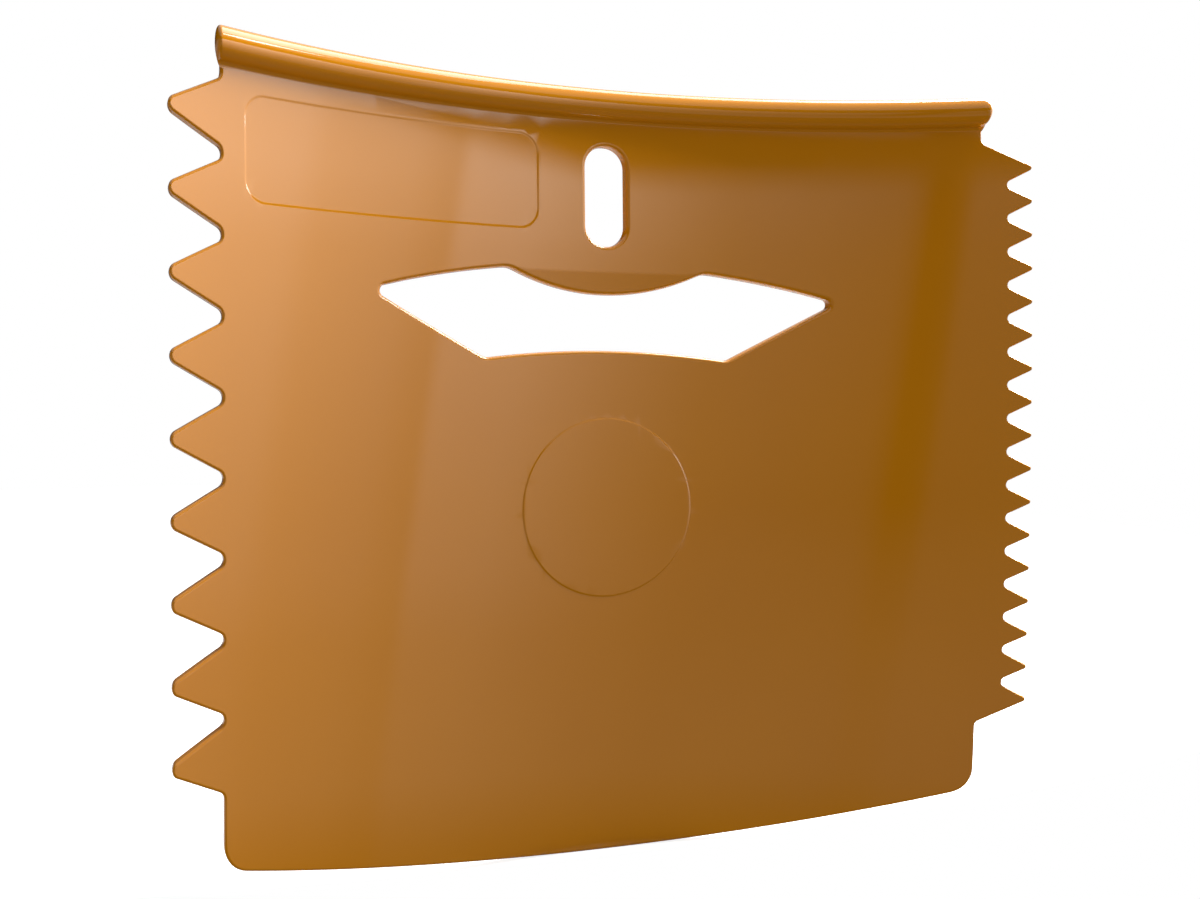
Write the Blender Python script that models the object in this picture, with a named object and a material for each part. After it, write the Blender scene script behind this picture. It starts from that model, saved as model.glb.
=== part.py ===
"""Cake server: one bent plastic plate with a hand hole, a hanging slot, a stiff rail along the
top and a comb of teeth down each side, coarse on the left and fine on the right.

The plate is drawn flat (X across, Y through the wall, Z up), given its rims, rail and mouldings,
cut into strips, and then bent about a vertical axis. Lengths are in metres.
"""
import math

import bmesh
import bpy
from mathutils import Vector

# Wall and bend
WALL = 0.0020                 # thickness of the plate
BEND_RADIUS = 0.1206          # hollow front face, bent about a vertical axis
CROSS_BOW_RADIUS = 1.07       # faint backward bow of the top and bottom edges
BOW_HEIGHT = 0.0595           # where the bow stands upright
EDGE_RADIUS = 0.0004          # rounding of the outer rim
HOLE_EDGE_RADIUS = 0.0005     # rounding of the rims of the slot and the hand hole

# Outline
HALF_BODY = 0.0576            # centre line to the plain side edges
TOOTH_REACH = 0.0073          # side edge to the tips of the teeth
BOTTOM_ARC_RADIUS = 0.2230    # curved bottom edge
BOTTOM_CORNER_RADIUS = 0.0042
LOWEST_TIP_HEIGHT = 0.0217    # lowest tooth above the lowest point of the bottom edge

# Combs
TOOTH_ANGLE = math.radians(52.5)
COARSE_PITCH = 0.0100
COARSE_COUNT = 9
COARSE_TIP_RADIUS = 0.00115
COARSE_ROOT_RADIUS = 0.0011
FINE_PITCH = 0.0050
FINE_TIP_RADIUS = 0.0005
FINE_ROOT_RADIUS = 0.0007

# Rail
RAIL_RADIUS = 0.0022
RAIL_ABOVE_TIP = 0.0078       # rail's axis above the highest tooth
OVERHANG_COARSE = 0.0007      # how far the rail passes the side edge above the coarse comb
OVERHANG_FINE = 0.0007        # and above the fine comb
END_LENGTH_COARSE = 0.0009    # rounded stretch of the rail above the coarse comb
END_LENGTH_FINE = 0.0016      # and above the fine comb
RAIL_END_LIFT = 0.0010        # how far above the axis each end closes
RAIL_BACK_STEP = 0.00015      # how proud the rail stands of the back face
RAIL_BLEND_RADIUS = 0.0006    # fillet between the rail and the front face
RAIL_END_RISE = 0.00050       # how much higher the rail's ends are than its middle
RAIL_RISE_HEIGHT = 0.0013     # height of the neck that takes up this rise

# Hanging slot
SLOT_WIDTH = 0.0063
SLOT_LENGTH = 0.0145
SLOT_BELOW_RAIL = 0.01325     # rail's axis down to the slot's middle

# Hand hole
HOLE_TOP_BELOW_RAIL = 0.0232  # rail's axis down to the top of the upper edge's arc
HOLE_HEIGHT = 0.01245         # between the upper and lower arcs on the centre line
HOLE_ARC_RADIUS = 0.1370      # both long edges
HOLE_HALF_WIDTH = 0.0361      # centre line to the sharp end, before it is rounded
HOLE_END_RADIUS = 0.0008
HOLE_FOOT_HALF_WIDTH = 0.0188
HOLE_FOOT_RADIUS = 0.0022
TONGUE_HALF_WIDTH = 0.01505
TONGUE_DROP = 0.0035          # how far the tongue hangs below its two shoulders
TONGUE_SHOULDER_RADIUS = 0.0040
TONGUE_BEVEL_DEPTH = 0.0005   # how far the tongue's lip is set back from the front face

# Raised disc
DISC_RADIUS = 0.01314
DISC_HEIGHT = 0.0510          # its centre above the lowest point of the bottom edge
DISC_STEP = 0.00015

# Recessed panel
PANEL_WIDTH = 0.0440
PANEL_HEIGHT = 0.0138
PANEL_FROM_SIDE = 0.0032      # left side edge to the panel
PANEL_BELOW_RAIL = 0.0048     # rail's axis down to the panel's top edge
PANEL_CORNER_RADIUS = 0.0030
PANEL_STEP = 0.00015

# Fineness of the solid
STRIP_WIDTH = 0.0050
ROW_HEIGHT = 0.0100
ARC_STEP = 0.0040             # longest chord on the large arcs
SMALL_ARC_TURN = math.radians(32)
CORNER_ROOM = 0.96            # share of a corner's sides that its rounding may take
STRAIGHT_TURN = 0.01          # radians; a corner that turns less stays as it is
EDGE_TIP_SHARE = 0.8          # most of a tooth tip's radius that the rim's rounding may take
EDGE_WALL_SHARE = 0.4         # most of the wall that it may take from each face
RAIL_SIDES = 20
RAIL_SINK = 0.00002           # how far the rail's blend runs into the wall
RAIL_BACK_ENTRY = math.radians(38)     # where the rail's circle has gone inside the wall at the back
RAIL_END_TURNS = [math.radians(a) for a in (30, 55, 75)]
RAIL_END_FULLNESS = 0.8       # below 1 is squarer than an ellipse
BLEND_STEPS = 2
MERGE_DISTANCE = 0.000004
COUNT_SLACK = 0.001           # share of a step by which a whole number of teeth may miss their run
SHARP_ANGLE = math.radians(35)

# Colour of the plastic
CARAMEL = (0.52, 0.25, 0.075, 1.0)
ROUGHNESS = 0.28

# Values that follow from the sizes above
COMB_REACH = HALF_BODY + TOOTH_REACH
COMB_TOP = LOWEST_TIP_HEIGHT + (COARSE_COUNT - 1) * COARSE_PITCH
RAIL_HEIGHT = COMB_TOP + RAIL_ABOVE_TIP
TOTAL_HEIGHT = RAIL_HEIGHT + RAIL_RADIUS
HOLE_TOP = RAIL_HEIGHT - HOLE_TOP_BELOW_RAIL
TIP_SLOPE = math.tan(TOOTH_ANGLE / 2)
TIP_TRIM = 1 / math.sin(TOOTH_ANGLE / 2) - 1     # what rounding takes off a point, per unit of radius


def clear_scene():
    for item in list(bpy.data.objects):
        bpy.data.objects.remove(item, do_unlink=True)


def arc_drop(radius, x):
    """How far an arc has fallen from its crown at a distance x from it"""
    return radius - math.sqrt(max(radius * radius - x * x, 0))


def bottom_edge(x):
    return arc_drop(BOTTOM_ARC_RADIUS, x)


def hole_upper_edge(x):
    return HOLE_TOP - arc_drop(HOLE_ARC_RADIUS, x)


def hole_lower_edge(x):
    return hole_upper_edge(x) - HOLE_HEIGHT


def tongue_edge(x):
    """The arc through both shoulders and the bottom of the tongue"""
    radius = (TONGUE_HALF_WIDTH ** 2 + TONGUE_DROP ** 2) / (2 * TONGUE_DROP)
    lip = hole_upper_edge(TONGUE_HALF_WIDTH) - TONGUE_DROP
    return lip + arc_drop(radius, x)


def along(edge, start, end):
    """Sharp points on an edge between two corners, both left out"""
    count = max(2, math.ceil(abs(end - start) / ARC_STEP))
    places = [start + (end - start) * i / count for i in range(1, count)]
    return [(x, edge(x), 0.0) for x in places]


def rounded(corners):
    """Closed outline through (x, z, radius) corners, each rounded by an arc that its sides have room for"""
    outline = []
    for i, (x, z, radius) in enumerate(corners):
        here = Vector((x, z))
        nearest = (corners[i - 1], corners[(i + 1) % len(corners)])
        before, after = (Vector(corner[:2]) - here for corner in nearest)
        turn = math.pi - before.angle(after)
        if radius <= 0 or turn < STRAIGHT_TURN:
            outline.append(here)
            continue
        shares = [CORNER_ROOM / 2 if corner[2] > 0 else CORNER_ROOM for corner in nearest]
        room = min(before.length * shares[0], after.length * shares[1])
        reach = min(radius * math.tan(turn / 2), room)
        radius = reach / math.tan(turn / 2)
        towards = (before.normalized() + after.normalized()).normalized()
        centre = here + towards * (radius / math.cos(turn / 2))
        start = here + before.normalized() * reach - centre
        side = 1 if before.cross(after) < 0 else -1
        steps = max(2, math.ceil(turn / SMALL_ARC_TURN))
        for k in range(steps + 1):
            angle = side * turn * k / steps
            arm = Vector((start.x * math.cos(angle) - start.y * math.sin(angle),
                          start.x * math.sin(angle) + start.y * math.cos(angle)))
            outline.append(centre + arm)
    return outline


def comb(side, pitch, heights, tip_radius, root_radius):
    """Corners of a comb on one side, from its upper end to its lower, with its two corners on the body"""
    sharp_tip = COMB_REACH + tip_radius * TIP_TRIM
    root = sharp_tip - pitch / 2 / TIP_SLOPE
    flank = (sharp_tip - HALF_BODY) * TIP_SLOPE
    corners = [(side * HALF_BODY, heights[0] + flank, root_radius)]
    for i, height in enumerate(heights):
        if i:
            corners.append((side * root, height + pitch / 2, root_radius))
        corners.append((side * sharp_tip, height, tip_radius))
    corners.append((side * HALF_BODY, heights[-1] - flank, root_radius))
    return corners


def body_outline():
    coarse_heights = [COMB_TOP - i * COARSE_PITCH for i in range(COARSE_COUNT)]
    run = COMB_TOP - LOWEST_TIP_HEIGHT
    fine_count = math.floor(run / FINE_PITCH + COUNT_SLACK) + 1
    fine_top = COMB_TOP - (run - (fine_count - 1) * FINE_PITCH) / 2
    fine_heights = [fine_top - i * FINE_PITCH for i in range(fine_count)]
    left = comb(-1, COARSE_PITCH, coarse_heights, COARSE_TIP_RADIUS, COARSE_ROOT_RADIUS)
    right = comb(1, FINE_PITCH, fine_heights, FINE_TIP_RADIUS, FINE_ROOT_RADIUS)
    corner = bottom_edge(HALF_BODY)
    inside = HALF_BODY - BOTTOM_CORNER_RADIUS
    foot = [(-HALF_BODY, corner, BOTTOM_CORNER_RADIUS)]
    foot += [(-inside, bottom_edge(inside), 0.0)] + along(bottom_edge, -inside, inside)
    foot += [(inside, bottom_edge(inside), 0.0), (HALF_BODY, corner, BOTTOM_CORNER_RADIUS)]
    top = [(HALF_BODY, RAIL_HEIGHT, 0.0), (-HALF_BODY, RAIL_HEIGHT, 0.0)]
    return rounded(left + foot + right[::-1] + top)


def hole_outline():
    end = (HOLE_HALF_WIDTH, hole_upper_edge(HOLE_HALF_WIDTH), HOLE_END_RADIUS)
    foot = (HOLE_FOOT_HALF_WIDTH, hole_lower_edge(HOLE_FOOT_HALF_WIDTH), HOLE_FOOT_RADIUS)
    shoulder = (TONGUE_HALF_WIDTH, hole_upper_edge(TONGUE_HALF_WIDTH), TONGUE_SHOULDER_RADIUS)
    corners = [(-end[0], *end[1:]), (-foot[0], *foot[1:])]
    corners += along(hole_lower_edge, -foot[0], foot[0])
    corners += [foot, end]
    corners += along(hole_upper_edge, end[0], shoulder[0])
    corners += [shoulder] + along(tongue_edge, shoulder[0], -shoulder[0])
    corners += [(-shoulder[0], *shoulder[1:])]
    corners += along(hole_upper_edge, -shoulder[0], -end[0])
    return rounded(corners)


def slot_outline():
    middle = RAIL_HEIGHT - SLOT_BELOW_RAIL
    x = SLOT_WIDTH / 2
    z = SLOT_LENGTH / 2
    return rounded([(-x, middle + z, x), (-x, middle, 0.0), (-x, middle - z, x), (0, middle - z, 0.0),
                    (x, middle - z, x), (x, middle, 0.0), (x, middle + z, x), (0, middle + z, 0.0)])


def disc_outline():
    sides = 2 * round(math.pi / (SMALL_ARC_TURN / 3))
    turns = [2 * math.pi * i / sides for i in range(sides)]
    return [Vector((DISC_RADIUS * math.cos(a), DISC_HEIGHT + DISC_RADIUS * math.sin(a))) for a in turns]


def panel_outline():
    left = PANEL_FROM_SIDE - HALF_BODY
    right = left + PANEL_WIDTH
    top = RAIL_HEIGHT - PANEL_BELOW_RAIL
    bottom = top - PANEL_HEIGHT
    radius = PANEL_CORNER_RADIUS
    corners = ((left, top), (left, bottom), (right, bottom), (right, top))
    return rounded([(x, z, radius) for x, z in corners])


def material_side(outline, outside):
    """For each point, the step that moves both of its sides one unit into the plastic"""
    area = sum(a.x * b.y - a.y * b.x for a, b in zip(outline, outline[1:] + outline[:1]))
    sign = (1 if area > 0 else -1) * (-1 if outside else 1)
    steps = []
    for i, here in enumerate(outline):
        first = (here - outline[i - 1]).normalized()
        second = (outline[(i + 1) % len(outline)] - here).normalized()
        one = Vector((-first.y, first.x)) * sign
        two = Vector((-second.y, second.x)) * sign
        steps.append((one + two) / (1 + one.dot(two)))
    return steps


def extrude_ring(mesh, count, stations, place):
    """Draw a closed ring of edges at the first station, extrude it through the rest, and give its two ends"""
    spot = mesh.verts.layers.int.get("spot") or mesh.verts.layers.int.new("spot")
    verts = [mesh.verts.new() for _ in range(count)]
    for i, vert in enumerate(verts):
        vert[spot] = i
        vert.co = place(i, *stations[0])
    first = [mesh.edges.new(pair) for pair in zip(verts, verts[1:] + verts[:1])]
    last = first
    for station in stations[1:]:
        made = bmesh.ops.extrude_edge_only(mesh, edges=last)["geom"]
        verts = {item for item in made if isinstance(item, bmesh.types.BMVert)}
        edges = (item for item in made if isinstance(item, bmesh.types.BMEdge))
        last = [edge for edge in edges if verts.issuperset(edge.verts)]
        for vert in verts:
            vert.co = place(vert[spot], *station)
    return first, last


def rim(mesh, outline, levels, outside=False):
    """Extrude an outline through its (inset, depth) levels; the plastic lies outside a hole's outline"""
    steps = material_side(outline, outside)

    def place(i, inset, depth):
        flat = outline[i] + steps[i] * inset
        return (flat.x, depth, flat.y)

    return extrude_ring(mesh, len(outline), levels, place)


def fill(mesh, loops):
    edges = [edge for loop in loops for edge in loop]
    bmesh.ops.triangle_fill(mesh, use_beauty=True, use_dissolve=True, edges=edges, normal=(0, 1, 0))


def edge_levels(radius):
    """Levels of a rim through the wall, with both of its edges broken"""
    return [(radius, 0.0), (0.0, radius), (0.0, WALL - radius), (radius, WALL)]


def flat_plate():
    """The closed plate before it is bent, with its two holes, the raised disc and the recessed panel"""
    mesh = bmesh.new()
    smallest_tip = min(FINE_TIP_RADIUS, COARSE_TIP_RADIUS)
    outer_edge = min(EDGE_RADIUS, EDGE_TIP_SHARE * smallest_tip, EDGE_WALL_SHARE * WALL)
    hole_edge = min(HOLE_EDGE_RADIUS, EDGE_WALL_SHARE * WALL)
    body = rim(mesh, body_outline(), edge_levels(outer_edge))
    slot = rim(mesh, slot_outline(), edge_levels(hole_edge), outside=True)
    hole = rim(mesh, hole_outline(), edge_levels(hole_edge), outside=True)
    disc = rim(mesh, disc_outline(), [(0.0, 0.0), (DISC_STEP, -DISC_STEP)])
    panel = rim(mesh, panel_outline(), [(0.0, 0.0), (PANEL_STEP, PANEL_STEP)])
    fill(mesh, [body[0], slot[0], hole[0], disc[0], panel[0]])
    fill(mesh, [body[1], slot[1], hole[1]])
    fill(mesh, [disc[1]])
    fill(mesh, [panel[1]])
    bmesh.ops.recalc_face_normals(mesh, faces=mesh.faces)
    return mesh


def rail_section():
    """(y, z) points of the rail: a circle that blends into the front face, closed inside the wall"""
    centre = WALL + RAIL_BACK_STEP - RAIL_RADIUS
    across = centre + RAIL_BLEND_RADIUS - RAIL_SINK
    down = math.sqrt(max((RAIL_RADIUS + RAIL_BLEND_RADIUS) ** 2 - across ** 2, 0))
    meet = math.atan2(down, across)
    turn = math.pi + meet + RAIL_BACK_ENTRY
    steps = round(RAIL_SIDES * turn / (2 * math.pi))
    points = []
    for k in range(steps + 1):
        angle = turn * k / steps - RAIL_BACK_ENTRY
        points.append((centre + RAIL_RADIUS * math.cos(angle), RAIL_HEIGHT + RAIL_RADIUS * math.sin(angle)))
    for k in range(1, BLEND_STEPS + 1):
        angle = meet * (1 - k / BLEND_STEPS)
        points.append((RAIL_SINK + RAIL_BLEND_RADIUS * (math.cos(angle) - 1),
                       RAIL_HEIGHT - down + RAIL_BLEND_RADIUS * math.sin(angle)))
    return points


def rail_end(tip, length):
    """(distance from the middle, size) places along one rounded end of the rail, up to its tip"""
    last = RAIL_END_TURNS[-1]
    places = [(tip - length, 1.0)]
    for turn in RAIL_END_TURNS:
        reach = (math.sin(turn) / math.sin(last)) ** RAIL_END_FULLNESS
        places.append((tip - length * (1 - reach), math.cos(turn) ** RAIL_END_FULLNESS))
    return places


def rail_stations():
    """(x, size) places along the rail, from its left end to its right"""
    left = rail_end(HALF_BODY + OVERHANG_COARSE, END_LENGTH_COARSE)
    right = rail_end(HALF_BODY + OVERHANG_FINE, END_LENGTH_FINE)
    return [(-x, size) for x, size in left[::-1]] + right


def rail_bar():
    """The rail as a closed bar: its section extruded along X, narrower at both ends"""
    mesh = bmesh.new()
    section = rail_section()
    centre = WALL + RAIL_BACK_STEP - RAIL_RADIUS

    def place(i, x, size):
        y, z = section[i]
        height = RAIL_HEIGHT + RAIL_END_LIFT * (1 - size) + (z - RAIL_HEIGHT) * size
        return (x, centre + (y - centre) * size, height)

    for end in extrude_ring(mesh, len(section), rail_stations(), place):
        bmesh.ops.contextual_create(mesh, geom=end)
    bmesh.ops.recalc_face_normals(mesh, faces=mesh.faces)
    return mesh


def to_object(mesh, name):
    data = bpy.data.meshes.new(name)
    mesh.to_mesh(data)
    mesh.free()
    item = bpy.data.objects.new(name, data)
    bpy.context.scene.collection.objects.link(item)
    return item


def join_rail(plate, rail):
    """The plate and its rail as one body"""
    union = plate.modifiers.new("rail", "BOOLEAN")
    union.operation = "UNION"
    union.solver = "EXACT"
    union.object = rail
    graph = bpy.context.evaluated_depsgraph_get()
    joined = bmesh.new()
    joined.from_mesh(plate.evaluated_get(graph).to_mesh())
    plate.modifiers.remove(union)
    bpy.data.objects.remove(rail, do_unlink=True)
    return joined


def cut_strips(mesh):
    """Cut the flat body along every line where the bend, the bow or the tongue's bevel needs points"""
    strips = math.ceil(COMB_REACH / STRIP_WIDTH)
    cuts = [(Vector((i * STRIP_WIDTH, 0, 0)), Vector((1, 0, 0))) for i in range(-strips, strips + 1)]
    rows = math.ceil(TOTAL_HEIGHT / ROW_HEIGHT)
    heights = [i * ROW_HEIGHT for i in range(1, rows)] + [hole_upper_edge(TONGUE_HALF_WIDTH)]
    cuts += [(Vector((0, 0, height)), Vector((0, 0, 1))) for height in heights]
    for place, across in cuts:
        everything = mesh.verts[:] + mesh.edges[:] + mesh.faces[:]
        bmesh.ops.bisect_plane(mesh, geom=everything, dist=MERGE_DISTANCE, plane_co=place, plane_no=across)
    bmesh.ops.remove_doubles(mesh, verts=mesh.verts, dist=MERGE_DISTANCE)
    bmesh.ops.triangulate(mesh, faces=mesh.faces, quad_method="BEAUTY", ngon_method="BEAUTY")


def bevel_tongue(mesh):
    """Lean the tongue's front back towards its lip"""
    line = hole_upper_edge(TONGUE_HALF_WIDTH)
    below = line - HOLE_HEIGHT / 2
    for vert in mesh.verts:
        x, y, z = vert.co
        if abs(x) < TONGUE_HALF_WIDTH and y < WALL / 2 and below < z < line:
            vert.co.y += TONGUE_BEVEL_DEPTH * (line - z) / TONGUE_DROP


def bend(mesh):
    """Lift the rail's ends, bend the plate about its vertical axis and bow it from top to bottom.

    Both faces keep their distance, and every rim stays parallel to Y, the way the mould opens.
    """
    underside = RAIL_HEIGHT - RAIL_RADIUS
    for vert in mesh.verts:
        x, y, z = vert.co
        share = min(max(1 - (underside - z) / RAIL_RISE_HEIGHT, 0), 1)
        turn = x / BEND_RADIUS
        hollow = BEND_RADIUS * (1 - math.cos(turn))
        bow = (z - BOW_HEIGHT) ** 2 / (2 * CROSS_BOW_RADIUS)
        rise = RAIL_END_RISE * (x / HALF_BODY) ** 2 * share
        vert.co = (BEND_RADIUS * math.sin(turn), y / math.cos(turn) - hollow + bow, z + rise)


def stand_on_origin(mesh):
    """Put the lowest point at height zero and the middle of the plan over the origin"""
    places = [vert.co for vert in mesh.verts]
    middle = [(min(p[i] for p in places) + max(p[i] for p in places)) / 2 for i in (0, 1)]
    floor = min(p.z for p in places)
    bmesh.ops.translate(mesh, verts=mesh.verts, vec=(-middle[0], -middle[1], -floor))


def plastic():
    material = bpy.data.materials.new("caramel_plastic")
    material.use_nodes = True
    material.diffuse_color = CARAMEL
    shader = material.node_tree.nodes["Principled BSDF"]
    shader.inputs["Base Color"].default_value = CARAMEL
    shader.inputs["Roughness"].default_value = ROUGHNESS
    shader.inputs["Metallic"].default_value = 0.0
    return material


def build():
    clear_scene()
    plate = to_object(flat_plate(), "server_plate")
    joined = join_rail(plate, to_object(rail_bar(), "rail"))
    cut_strips(joined)
    bevel_tongue(joined)
    bend(joined)
    stand_on_origin(joined)
    bmesh.ops.recalc_face_normals(joined, faces=joined.faces)
    joined.to_mesh(plate.data)
    joined.free()
    plate.data.materials.append(plastic())
    plate.data.shade_smooth()
    plate.data.set_sharp_from_angle(angle=SHARP_ANGLE)


build()
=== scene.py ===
"""Cake server: the fine plate in glossy caramel plastic, with its floor, studio and camera.

The plate is drawn flat (X across, Y through the wall, Z up), given its rims, rail and mouldings,
cut into strips and then bent about a vertical axis. Lengths are in metres.
"""
import math

import bmesh
import bpy
from bpy.props import FloatProperty, FloatVectorProperty, IntProperty, PointerProperty
from mathutils import Matrix, Vector


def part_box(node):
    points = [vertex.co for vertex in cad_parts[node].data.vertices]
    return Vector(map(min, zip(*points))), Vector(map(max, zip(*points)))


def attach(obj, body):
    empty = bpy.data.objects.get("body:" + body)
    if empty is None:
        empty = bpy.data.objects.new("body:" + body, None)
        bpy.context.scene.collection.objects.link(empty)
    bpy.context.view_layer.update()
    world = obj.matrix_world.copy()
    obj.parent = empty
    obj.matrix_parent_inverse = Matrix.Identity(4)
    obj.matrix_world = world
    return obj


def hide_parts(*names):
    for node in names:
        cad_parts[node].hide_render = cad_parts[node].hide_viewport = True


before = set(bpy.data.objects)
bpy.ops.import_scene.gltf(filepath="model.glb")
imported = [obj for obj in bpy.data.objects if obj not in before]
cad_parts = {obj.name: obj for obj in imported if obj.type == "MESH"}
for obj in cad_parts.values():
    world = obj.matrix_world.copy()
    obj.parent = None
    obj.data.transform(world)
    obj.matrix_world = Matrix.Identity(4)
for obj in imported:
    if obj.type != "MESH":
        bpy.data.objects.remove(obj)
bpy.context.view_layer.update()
NODE = "server_plate"
NODE_LOW, NODE_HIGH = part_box(NODE)
BODY = "root"

bl_info = {
    "name": "Cake Server",
    "version": (1, 0, 0),
    "blender": (4, 5, 0),
    "location": "3D View > Sidebar > Cake Server",
    "description": "Builds a comb-edged cake server and the studio that it stands in",
    "category": "Add Mesh",
}

# Fineness of the mesh
STRIP_WIDTH = 0.0025          # between the cuts that take up the bend
ROW_HEIGHT = 0.0050
ARC_STEP = 0.0010             # longest chord on the large arcs
SMALL_ARC_TURN = math.radians(9)
RIM_STEPS = 6                 # faces across each rounded rim
RIM_LIP = 0.00008             # narrow flat strip that keeps the shading of the faces off the rims
SLOPE_STEPS = 6               # faces across the edge of the disc and of the panel
RAIL_SIDES = 72
BLEND_STEPS = 6
RAIL_END_STEPS = 12
RAIL_END_LAST = math.radians(86)
RAIL_END_FULLNESS = 0.75      # below 1 is squarer than an ellipse
RAIL_BACK_ENTRY = math.radians(38)   # where the rail's circle has gone inside the wall at the back
RAIL_SINK = 0.00002           # how far the rail's blend runs into the wall
RISE_HEIGHT = 0.0013          # height of the neck that takes up the rise of the rail's ends
CORNER_ROOM = 0.96            # share of a corner's sides that its rounding may take
HOLE_END_ROOM = 0.0045        # straight stretch that the rounding of a pointed end is cut from
STRAIGHT_TURN = 0.01          # radians; a corner that turns less stays as it is
MERGE_DISTANCE = 0.000004
SHORT_STEP = 0.00001          # over which the bend's turning is felt
SHARP_ANGLE = math.radians(38)
WEIGHT_OF_AREA = 50

# Patterns of the plastic; each scale is in repeats to the metre
CLOUD_SCALE = 26.0
CLOUD_FROM = 0.35             # noise below this leaves the plain colour
CLOUD_CONTRAST = 3.0
SMUDGE_SCALE = 70.0
SMUDGE_FROM = 0.5
SMUDGE_CONTRAST = 4.0
WAVE_SCALE = 95.0
GRAIN_SCALE = 2600.0
FLECK_SCALE = 130.0
FLECK_SIZE = 0.030            # share of a cell
FLECK_RARITY = 0.93           # share of the cells that have none
FLECK_STRENGTH = 0.8

# Pale floor, and the round screen that only the gloss shows
FLOOR_CENTRE = (0.0, 0.470)
FLOOR_RADIUS = 0.464
FLOOR_SIDES = 96
SCREEN_RADIUS = 1.2
SCREEN_STEPS = 96
SCREEN_HEIGHTS = (-0.60, 0.90)
SCREEN_LEAN = 0.19            # radians of azimuth in each metre of height
SCREEN_UPRIGHT = 0.07         # height at which nothing leans
WINDOW_TOP = 0.40             # height at which the bright part of the screen ends
WINDOW_CORNER = 0.35          # azimuth from which its upper edge climbs, in radians
WINDOW_SLANT = 0.19           # metres that it climbs in each radian
WINDOW_SOFTNESS = 0.04

# Brightness round the screen, by azimuth in degrees: dim on the left with a dark gap, bright on the right
SCREEN_ROUND = (
    (-180, 0.05), (-100, 0.05), (-60, 0.10), (-12.6, 0.10), (-11, 0.00), (-8, 0.00), (-6.4, 0.10), (-4, 0.12),
    (6, 0.19), (11, 0.21), (14, 0.26), (20, 0.41), (31, 0.82), (38.2, 0.86), (39, 0.50), (41.2, 0.56),
    (43.5, 0.67), (52, 0.75), (55, 0.95), (66, 1.00), (100, 1.00), (140, 0.27), (180, 0.05))

# Brightness up the screen, and the glow low on it, by height in metres
SCREEN_UPWARD = ((-0.60, 0.03), (-0.41, 0.10), (-0.30, 0.13), (-0.23, 0.17), (-0.13, 0.31), (0.06, 0.48),
                 (0.27, 0.69), (0.38, 1.00))
SCREEN_GLOW = ((-0.52, 0.00), (-0.42, 1.00), (-0.33, 1.00), (-0.25, 0.80), (-0.13, 0.35), (-0.05, 0.00))


def size(name, description, default):
    """A length that a user may change"""
    return FloatProperty(name=name, description=description, default=default, unit="LENGTH", precision=5)


def amount(name, description, default):
    """A plain number that a user may change"""
    return FloatProperty(name=name, description=description, default=default, precision=4)


def turn(name, description, degrees):
    """An angle that a user may change"""
    return FloatProperty(name=name, description=description, default=math.radians(degrees), subtype="ANGLE")


def colour(name, description, default):
    """A colour that a user may change"""
    return FloatVectorProperty(name=name, description=description, default=default, subtype="COLOR",
                               size=3, min=0.0, max=1.0)


class PlateSizes(bpy.types.PropertyGroup):
    """Wall, bend and outline of the plate"""
    wall: size("Wall", "Thickness of the plate", 0.0020)
    bend_radius: size("Bend radius", "Hollow front face, bent about a vertical axis", 0.1206)
    bow_radius: size("Bow radius", "Faint backward bow of the top and bottom edges", 1.07)
    bow_height: size("Bow height", "Where the bow stands upright", 0.0595)
    edge_radius: size("Edge radius", "Rounding of the outer rim", 0.0004)
    front_rounding: size("Front rounding", "Depth of the outer rim's rounding at the front", 0.0006)
    half_body: size("Half body", "Centre line to the plain side edges", 0.0576)
    bottom_radius: size("Bottom radius", "Curved bottom edge", 0.2230)
    corner_radius: size("Corner radius", "Lower corners of the plate", 0.0042)


class CombSizes(bpy.types.PropertyGroup):
    """Teeth down the two sides"""
    reach: size("Tooth reach", "Side edge to the tips of the teeth", 0.0073)
    lowest: size("Lowest tip", "Lowest tooth above the foot of the plate", 0.0217)
    angle: turn("Tooth angle", "Between the two flanks of a tooth", 52.5)
    coarse_count: IntProperty(name="Coarse teeth", description="Teeth on the left", default=9)
    coarse_pitch: size("Coarse pitch", "Between two teeth on the left", 0.0100)
    coarse_tip: size("Coarse tip radius", "Round tips on the left", 0.00115)
    coarse_root: size("Coarse root radius", "Round roots on the left", 0.0011)
    fine_count: IntProperty(name="Fine teeth", description="Teeth on the right", default=17)
    fine_pitch: size("Fine pitch", "Between two teeth on the right", 0.0050)
    fine_tip: size("Fine tip radius", "Round tips on the right", 0.0005)
    fine_root: size("Fine root radius", "Round roots on the right", 0.0007)


class RailSizes(bpy.types.PropertyGroup):
    """The thick rail along the top"""
    radius: size("Rail radius", "Half of the rail's thickness", 0.0022)
    above_tip: size("Above the comb", "Rail's axis above the highest tooth", 0.0078)
    coarse_overhang: size("Left overhang", "How far the rail passes the left side edge", 0.0007)
    fine_overhang: size("Right overhang", "How far the rail passes the right side edge", 0.0007)
    coarse_end: size("Left end", "Rounded stretch at the left end", 0.0009)
    fine_end: size("Right end", "Rounded stretch at the right end", 0.0016)
    coarse_lift: size("Left lift", "How far above the axis the left end closes", 0.0003)
    fine_lift: size("Right lift", "How far above the axis the right end closes", 0.0010)
    back_step: size("Back step", "How proud the rail stands of the back face", 0.00015)
    blend: size("Blend radius", "Fillet between the rail and the front face", 0.0006)
    rise: size("End rise", "How much higher the rail's ends are than its middle", 0.00050)


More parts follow.
